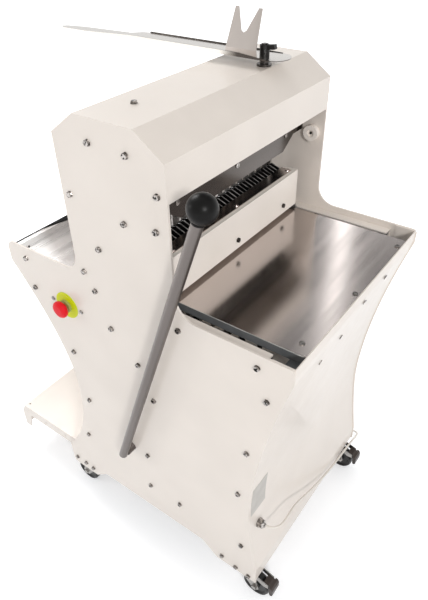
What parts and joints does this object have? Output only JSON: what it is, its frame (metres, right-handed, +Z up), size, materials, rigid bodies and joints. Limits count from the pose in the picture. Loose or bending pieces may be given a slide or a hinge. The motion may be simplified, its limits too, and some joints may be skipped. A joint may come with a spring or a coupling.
{
  "type": "bread slicer machine",
  "caption": "Floor-standing bread slicer: two bowed side plates, sawing blade frames, lever-driven comb pusher, infeed table, outfeed trough, bag tray and casters.",
  "frame": {"origin": "on the floor under the middle of the machine, without its free cord", "axes": "+X out of the infeed side, +Y away from the lever side, +Z up"},
  "size_m": [0.952, 0.763, 1.3042],
  "materials": {
    "painted_steel": "cream white gloss powder coat",
    "stainless": "brushed stainless",
    "blade_steel": "bright tool steel",
    "black_plastic": "satin black",
    "zinc_steel": "bright zinc plate",
    "grey_metal": "grey enamel",
    "belt_rubber": "matt black",
    "red_plastic": "glossy red",
    "yellow_plastic": "satin yellow",
    "white_plastic": "satin white",
    "cord_pvc": "satin white",
    "wheel_rubber": "matt black",
    "brown_plastic": "dark brown satin"
  },
  "bodies": {
    "frame": {"side_plate_near": "painted_steel", "side_plate_far": "painted_steel", "hood": "painted_steel", "infeed_table": "stainless", "table_frame": "grey_metal", "front_apron": "painted_steel", "lower_panel": "painted_steel", "rear_panel": "painted_steel", "outfeed_trough": "stainless", "rear_shelf": "painted_steel", "base_channels": "painted_steel", "cross_bars": "zinc_steel", "upper_guard": "stainless", "guide_rails": "painted_steel", "shaft_bushes": "zinc_steel", "guide_blocks": "black_plastic", "pillow_blocks": "grey_metal", "drive_cradle": "grey_metal", "drive_belt": "belt_rubber", "motor": "grey_metal", "estop_collar": "yellow_plastic", "tray_bracket": "zinc_steel", "bumpers": "white_plastic", "cable_gland": "zinc_steel", "power_cord": "cord_pvc", "cord_coil": "cord_pvc", "plug": "cord_pvc", "fasteners": "zinc_steel"},
    "lever": {"lever_rod": "zinc_steel", "lever_knob": "black_plastic", "lever_shaft": "zinc_steel", "crank_arms": "zinc_steel"},
    "pusher": {"pusher_bar": "white_plastic", "comb_strip": "stainless", "comb_fingers": "black_plastic", "carriage_plates": "zinc_steel", "slide_blocks": "black_plastic"},
    "blade_set_front": {"blade_frame_front": "zinc_steel", "blades_front": "blade_steel", "conrod_front": "zinc_steel"},
    "blade_set_rear": {"blade_frame_rear": "zinc_steel", "blades_rear": "blade_steel", "conrod_rear": "zinc_steel"},
    "eccentric_shaft": {"drive_shaft": "zinc_steel", "driven_pulley": "grey_metal"},
    "motor_rotor": {"motor_pulley": "grey_metal"},
    "stop_button": {"estop_button": "red_plastic"},
    "tray": {"bag_tray": "stainless", "fork_plate": "stainless"},
    "tray_clamp": {"clamp_handle": "black_plastic"},
    "caster_nf": {"caster_fork_nf": "zinc_steel"},
    "wheel_nf": {"caster_wheel_nf": "wheel_rubber"},
    "caster_ff": {"caster_fork_ff": "zinc_steel"},
    "wheel_ff": {"caster_wheel_ff": "wheel_rubber"},
    "caster_nr": {"caster_fork_nr": "zinc_steel"},
    "wheel_nr": {"caster_wheel_nr": "wheel_rubber"},
    "caster_fr": {"caster_fork_fr": "zinc_steel"},
    "wheel_fr": {"caster_wheel_fr": "wheel_rubber"},
    "pedal_near": {"brake_pedal_near": "brown_plastic"},
    "pedal_far": {"brake_pedal_far": "brown_plastic"}
  },
  "joints": [
    {"name": "lever_swing", "type": "hinge", "parent": "frame", "child": "lever", "pos_m": [0.043, -0.284, 0.36], "axis": [0, 1, 0], "range_deg": [0, 30]},
    {"name": "pusher_slide", "type": "slide", "parent": "frame", "child": "pusher", "axis": [1, 0, 0], "range_m": [0, 0.2201]},
    {"name": "blade_front_slide", "type": "slide", "parent": "frame", "child": "blade_set_front", "axis": [0, 0, 1], "range_m": [-0.008, 0.008]},
    {"name": "blade_rear_slide", "type": "slide", "parent": "frame", "child": "blade_set_rear", "axis": [0, 0, 1], "range_m": [-0.008, 0.008]},
    {"name": "drive_shaft_spin", "type": "hinge", "parent": "frame", "child": "eccentric_shaft", "pos_m": [0.084, 0.024, 0.635], "axis": [0, 1, 0], "continuous": true},
    {"name": "motor_spin", "type": "hinge", "parent": "frame", "child": "motor_rotor", "pos_m": [0.124, 0.191, 0.315], "axis": [0, 1, 0], "continuous": true},
    {"name": "estop_press", "type": "slide", "parent": "frame", "child": "stop_button", "axis": [0, 1, 0], "range_m": [0, 0.005], "stiffness_N_per_m": 2000},
    {"name": "tray_swivel", "type": "hinge", "parent": "frame", "child": "tray", "pos_m": [0.143, 0.158, 1.219], "axis": [0, 0, 1], "range_deg": [0, 75]},
    {"name": "clamp_turn", "type": "hinge", "parent": "frame", "child": "tray_clamp", "pos_m": [0.143, 0.158, 1.235], "axis": [0, 0, 1], "range_deg": [0, 90]},
    {"name": "caster_swivel_nf", "type": "hinge", "parent": "frame", "child": "caster_nf", "pos_m": [0.379, -0.221, 0.09], "axis": [0, 0, 1], "continuous": true},
    {"name": "wheel_spin_nf", "type": "hinge", "parent": "caster_nf", "child": "wheel_nf", "pos_m": [0.409, -0.221, 0.0375], "axis": [0, 1, 0], "continuous": true},
    {"name": "caster_swivel_ff", "type": "hinge", "parent": "frame", "child": "caster_ff", "pos_m": [0.379, 0.269, 0.09], "axis": [0, 0, 1], "continuous": true},
    {"name": "wheel_spin_ff", "type": "hinge", "parent": "caster_ff", "child": "wheel_ff", "pos_m": [0.409, 0.269, 0.0375], "axis": [0, 1, 0], "continuous": true},
    {"name": "caster_swivel_nr", "type": "hinge", "parent": "frame", "child": "caster_nr", "pos_m": [-0.176, -0.221, 0.09], "axis": [0, 0, 1], "continuous": true},
    {"name": "wheel_spin_nr", "type": "hinge", "parent": "caster_nr", "child": "wheel_nr", "pos_m": [-0.206, -0.221, 0.0375], "axis": [0, 1, 0], "continuous": true},
    {"name": "caster_swivel_fr", "type": "hinge", "parent": "frame", "child": "caster_fr", "pos_m": [-0.176, 0.269, 0.09], "axis": [0, 0, 1], "continuous": true},
    {"name": "wheel_spin_fr", "type": "hinge", "parent": "caster_fr", "child": "wheel_fr", "pos_m": [-0.206, 0.269, 0.0375], "axis": [0, 1, 0], "continuous": true},
    {"name": "brake_pedal_press_near", "type": "hinge", "parent": "caster_nf", "child": "pedal_near", "pos_m": [0.441, -0.221, 0.074], "axis": [0, 1, 0], "range_deg": [0, 6]},
    {"name": "brake_pedal_press_far", "type": "hinge", "parent": "caster_ff", "child": "pedal_far", "pos_m": [0.441, 0.269, 0.074], "axis": [0, 1, 0], "range_deg": [0, 6]}
  ],
  "couplings": [
    {"joint": "pusher_slide", "follows": "lever_swing", "m_per_rad": 0.4202},
    {"joint": "blade_rear_slide", "follows": "blade_front_slide", "ratio": -1},
    {"joint": "motor_spin", "follows": "drive_shaft_spin", "ratio": 1.5}
  ]
}
